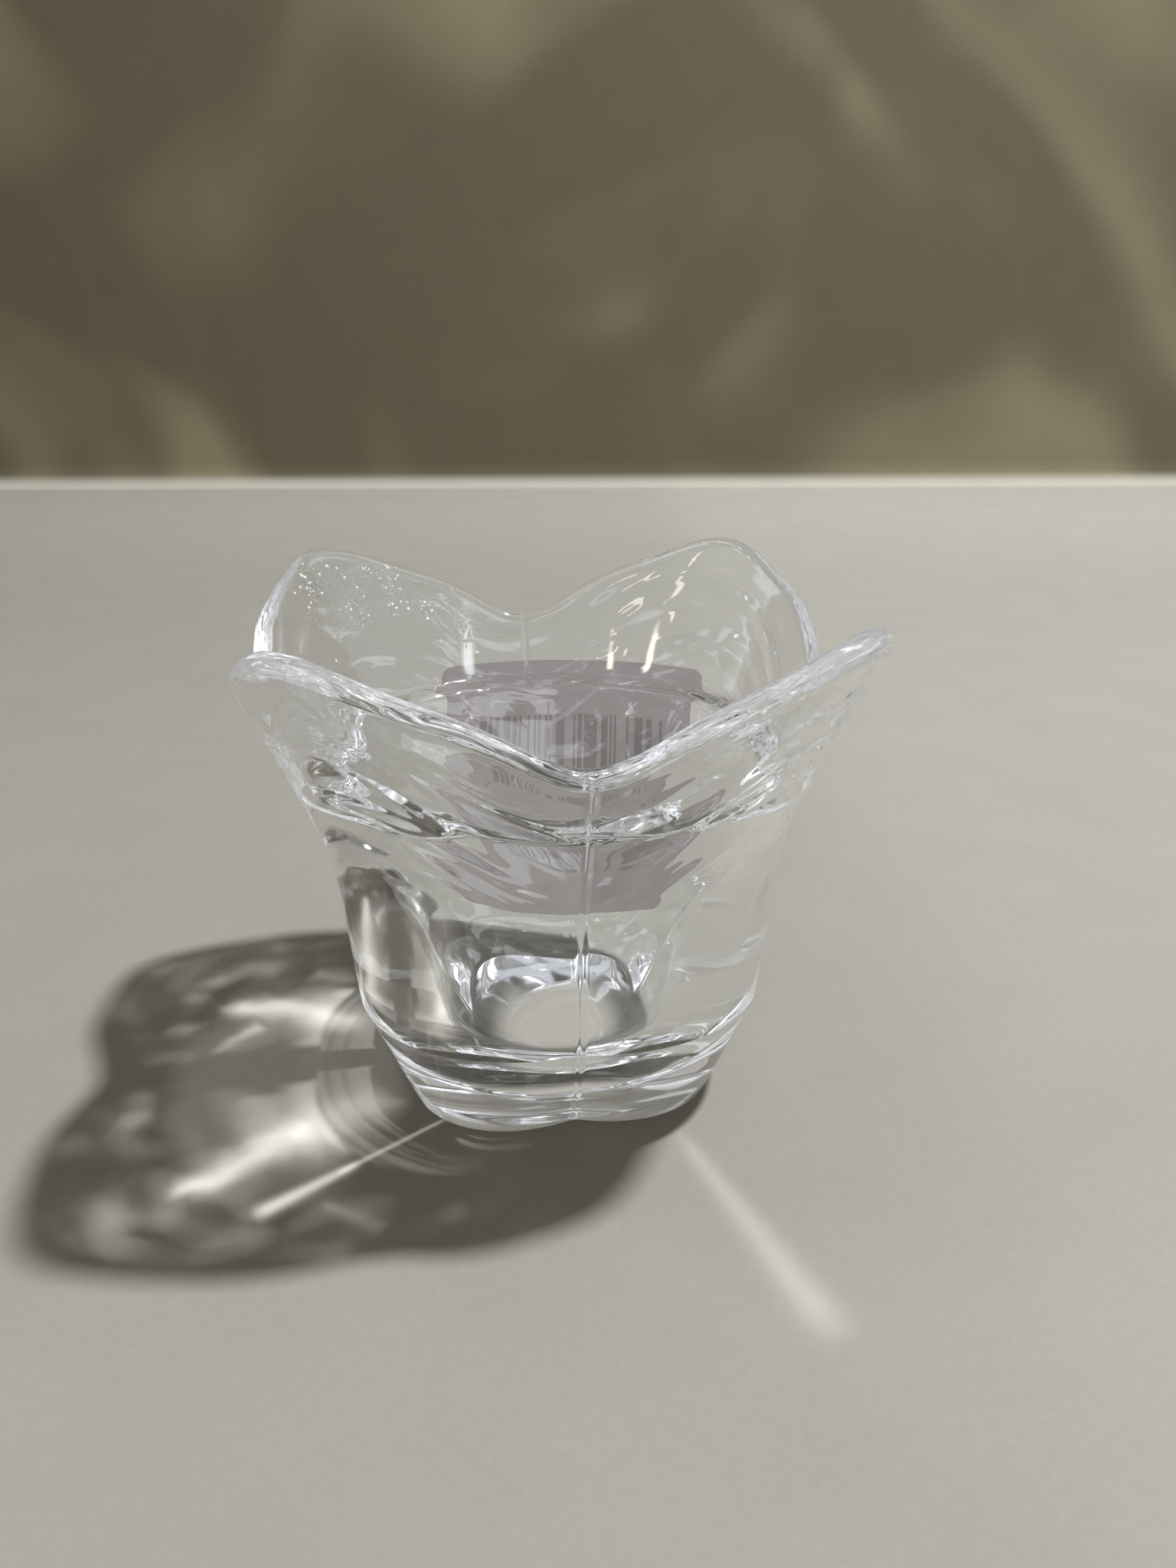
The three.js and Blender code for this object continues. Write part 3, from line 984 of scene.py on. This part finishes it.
def thrown_light(tree, place):
    """The light that the glass throws under its foot and inside its shadow, and painted
    light in the crease where the floor turns up, as a wire.
    """
    warp = add(tree, "ShaderNodeTexNoise", Vector=place, Scale=95.0, Detail=2.0)
    shift = vector_math(tree, "SUBTRACT", warp.outputs["Color"], (0.5, 0.5, 0.5))
    bend = scaled(tree, shift.outputs[0], 7.0 * MM)
    bent = vector_math(tree, "ADD", place, bend)
    x, y, height = split(tree, place)
    bent_x, bent_y, _ = split(tree, bent.outputs[0])
    total = hypotenuse(x, y).ramp(19.0 * MM, 11.0 * MM) * 1.5
    # Painted light: a pale band along the crease where the floor turns up into the wall.
    crease = height.ramp(0.0, 2.0 * MM) * height.ramp(12.0 * MM, 4.0 * MM)
    total = total + crease * 0.45
    for middle, reach, bright in THROWN_POOLS:
        aside = (bent_x - middle[0] * MM) / (reach[0] * MM)
        ahead = (bent_y - middle[1] * MM) / (reach[1] * MM)
        total = total + hypotenuse(aside, ahead).ramp(1.0, 0.72) * bright
    for start, stop, wide, bright, straight in THROWN_STREAKS:
        u, v = (x, y) if straight else (bent_x, bent_y)
        run = ((stop[0] - start[0]) * MM, (stop[1] - start[1]) * MM)
        length_squared = run[0] ** 2 + run[1] ** 2
        u, v = u - start[0] * MM, v - start[1] * MM
        along = (u * run[0] + v * run[1]) * (1.0 / length_squared)
        held = along.math("MAXIMUM", 0.0).math("MINIMUM", 1.0)
        aside = (u - held * run[0]).squared() + (v - held * run[1]).squared()
        width = (wide[0] + held * (wide[1] - wide[0])) * MM
        glow = (aside / width.squared() * -1.0).exp()
        fade = bright[0] + held * (bright[1] - bright[0])
        fade = fade * along.ramp(-0.12, 0.12) * along.ramp(1.12, 0.88)
        total = total + glow * fade
    return total


def stage_sweep(settings):
    """Floor and backdrop in one sheet that curves up behind the holder."""
    end, bend, steps, sunk = 0.75, 0.02, 12, 0.05 * MM
    profile = [(-1.6, 0.0), (-0.4, 0.0), (0.0, 0.0), (0.4, 0.0), (end, 0.0)]
    for i in range(1, steps + 1):
        turn = math.pi / 2 * i / steps
        profile.append((end + bend * math.sin(turn), bend - bend * math.cos(turn)))
    profile += [(end + bend, 0.5), (end + bend, 1.2)]
    points = [(x, y, z - sunk) for y, z in profile for x in (-1.8, 1.8)]
    faces = [(2 * i, 2 * i + 1, 2 * i + 3, 2 * i + 2) for i in range(len(profile) - 1)]
    mesh = bpy.data.meshes.new("floor_sweep")
    mesh.from_pydata(points, [], faces)
    for polygon in mesh.polygons:
        polygon.use_smooth = True
    mesh.transform(stage_turn(settings))
    sweep = bpy.data.objects.new("floor_sweep", mesh)
    bpy.context.scene.collection.objects.link(sweep)
    material, tree, shader, place = new_material("floor_paper")
    x, y, height = split(tree, place)
    # Painted shade: the wall behind is painted darker for the camera than for the glass,
    # with painted patches of light and shade on it.
    seen = tree.nodes.new("ShaderNodeLightPath").outputs["Is Camera Ray"]
    painted_dapples = noise(tree, 4.0, Vector=place, Detail=1.0, Distortion=1.5)
    soft = scaled(tree, settings.backdrop, 0.8 + 0.9 * painted_dapples.ramp(0.45, 0.8))
    wall = blend(tree, seen, settings.lit_wall, soft)
    across = x * math.cos(settings.turn) + y * math.sin(settings.turn)
    ahead = y * math.cos(settings.turn) - x * math.sin(settings.turn)
    # Painted light: the floor's colour is raised to the right, towards the camera and far
    # back, to paint how the light on it falls.
    lift = 1.0 + 0.14 * across.ramp(30.0 * MM, 100.0 * MM)
    lift = lift + 0.09 * ahead.ramp(-20.0 * MM, -75.0 * MM) + 0.42 * ahead.ramp(0.3, 0.75)
    ground = scaled(tree, settings.floor, lift)
    tone = blend(tree, height.ramp(0.0, 12.0 * MM), ground, wall)
    fibre = effect(
        tree,
        fibre_effect(),
        Vector=place,
        Color=tone,
        Scale=650.0,
        Mottle=0.16,
        Roughness=0.85,
    )
    tree.links.new(fibre.outputs["Color"], shader.inputs["Base Color"])
    tree.links.new(fibre.outputs["Roughness"], shader.inputs["Roughness"])
    thrown = scaled(tree, settings.gathered, thrown_light(tree, place))
    tree.links.new(thrown, shader.inputs["Emission Color"])
    shader.inputs["Emission Strength"].default_value = 1.0
    mesh.materials.append(material)
    sweep.cycles.is_caustics_receiver = True


def stage_world(settings):
    """Soft light for the stage, and a room with pale windows for the glass to show.

    Only rays that have just left glass or a gloss see the windows."""
    world = bpy.data.worlds.new("soft_room")
    world.use_nodes = True
    tree = world.node_tree
    background = tree.nodes["Background"]
    place = tree.nodes.new("ShaderNodeTexCoord").outputs["Generated"]
    height = split(tree, place)[2]

    ambient = blend(tree, height.ramp(0.0, 0.85), settings.room, settings.ceiling)
    shown = blend(tree, height.ramp(-0.3, 0.9), settings.walls, settings.sky)
    pale = noise(tree, settings.window_scale, Vector=place, Detail=0.0)
    plain = height.ramp(0.28, 0.38) * height.ramp(0.74, 0.66)
    shown = blend(tree, pale.ramp(0.56, 0.62) * (1.0 - plain), shown, settings.window)
    shown = blend(tree, pale.ramp(0.44, 0.36) * (1.0 - plain), shown, settings.shade)
    for toward, reach, squeeze, tint in GLINTS:
        middle = Vector(toward).normalized()
        aside = vector_math(tree, "SUBTRACT", place, middle).outputs[0]
        narrow = vector_math(tree, "MULTIPLY", aside, (1.0, 1.0, squeeze)).outputs[0]
        far = Wire(tree, vector_math(tree, "LENGTH", narrow).outputs["Value"])
        shown = blend(tree, far.ramp(reach, reach * 0.25), shown, tint)
    path = tree.nodes.new("ShaderNodeLightPath")
    seen = Wire(tree, path.outputs["Is Glossy Ray"]).math(
        "MAXIMUM", path.outputs["Is Transmission Ray"]
    )
    first = Wire(tree, path.outputs["Diffuse Depth"]).below(0.5)
    tree.links.new(blend(tree, seen * first, ambient, shown), background.inputs["Color"])
    background.inputs["Strength"].default_value = 1.0
    bpy.context.scene.world = world


class HOLDER_OT_press_glass(bpy.types.Operator):
    """Make the glass: foot, wall, petals, ledge and well in one pressed body"""

    bl_idname = "holder.press_glass"
    bl_label = "Press Glass"

    def execute(self, context):
        settings = context.scene.holder_glass
        tree, sockets = glass_tree(settings, clear_glass(settings))
        glass = grow("pressed_glass", tree, sockets, settings)
        glass.cycles.is_caustics_caster = True
        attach(glass, "root")
        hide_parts("glass_body")
        return {"FINISHED"}


class HOLDER_OT_stick_label(bpy.types.Operator):
    """Make the paper label and press it onto the back of the wall"""

    bl_idname = "holder.stick_label"
    bl_label = "Stick Label"

    def execute(self, context):
        settings = context.scene.holder_label
        wall = Wall(bpy.data.objects["pressed_glass"])
        mesh = label_mesh(settings, wall)
        for name, base, ink_share, held in (
            ("label_print", settings.paper, 0.97, 0.0),
            ("label_adhesive", settings.adhesive, 0.35, 0.14),
        ):
            mesh.materials.append(paper_material(name, settings, base, ink_share, held))
        label = bpy.data.objects.new("price_label", mesh)
        label.cycles.is_caustics_receiver = True
        context.scene.collection.objects.link(label)
        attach(label, "root")
        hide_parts("paper_label")
        return {"FINISHED"}


class HOLDER_OT_dry_droplets(bpy.types.Operator):
    """Scatter dried droplets on the inside of the back left petal"""

    bl_idname = "holder.dry_droplets"
    bl_label = "Dry Droplets"

    def execute(self, context):
        settings = context.scene.holder_specks
        tree, sockets = speck_tree(settings, dried_material())
        start = bpy.data.objects["pressed_glass"].data.copy()
        specks = grow("dried_droplets", tree, sockets, settings, start)
        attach(specks, "root")
        return {"FINISHED"}


class HOLDER_OT_set_stage(bpy.types.Operator):
    """Set the floor, backdrop, lamps and camera"""

    bl_idname = "holder.set_stage"
    bl_label = "Set Stage"

    def execute(self, context):
        settings = context.scene.holder_stage
        stage_camera(settings)
        stage_sweep(settings)
        stage_world(settings)
        key = stage_lamp("key", settings, settings.key, spread=0.09, spot=(0.556, 0.1, 1.3))
        key.data.cycles.is_caustics_light = True
        for kind in ("max_bounces", "glossy_bounces", "transmission_bounces"):
            setattr(context.scene.cycles, kind, GLASS_BOUNCES)
        context.scene.view_settings.view_transform = "Standard"
        return {"FINISHED"}


class HOLDER_PT_sidebar(bpy.types.Panel):
    """Lists the operators and the settings they read"""

    bl_label = "Candle Holder"
    bl_idname = "HOLDER_PT_sidebar"
    bl_space_type = "VIEW_3D"
    bl_region_type = "UI"
    bl_category = "Candle Holder"

    def draw(self, context):
        for operator, settings in STEPS:
            box = self.layout.box()
            box.operator(operator.bl_idname)
            values = getattr(context.scene, settings)
            for prop in values.bl_rna.properties:
                if prop.type in {"FLOAT", "INT"}:
                    box.prop(values, prop.identifier)


STEPS = [
    (HOLDER_OT_press_glass, "holder_glass"),
    (HOLDER_OT_stick_label, "holder_label"),
    (HOLDER_OT_dry_droplets, "holder_specks"),
    (HOLDER_OT_set_stage, "holder_stage"),
]
SETTINGS = {
    "holder_glass": HOLDER_PG_glass,
    "holder_label": HOLDER_PG_label,
    "holder_specks": HOLDER_PG_specks,
    "holder_stage": HOLDER_PG_stage,
}


def register():
    for name, group in SETTINGS.items():
        bpy.utils.register_class(group)
        setattr(bpy.types.Scene, name, bpy.props.PointerProperty(type=group))
    for operator, _ in STEPS:
        bpy.utils.register_class(operator)
    bpy.utils.register_class(HOLDER_PT_sidebar)


def unregister():
    bpy.utils.unregister_class(HOLDER_PT_sidebar)
    for operator, _ in reversed(STEPS):
        bpy.utils.unregister_class(operator)
    for name, group in reversed(SETTINGS.items()):
        delattr(bpy.types.Scene, name)
        bpy.utils.unregister_class(group)


def main():
    register()
    bpy.ops.holder.press_glass()
    bpy.ops.holder.stick_label()
    bpy.ops.holder.dry_droplets()
    bpy.ops.holder.set_stage()


if __name__ == "__main__":
    main()
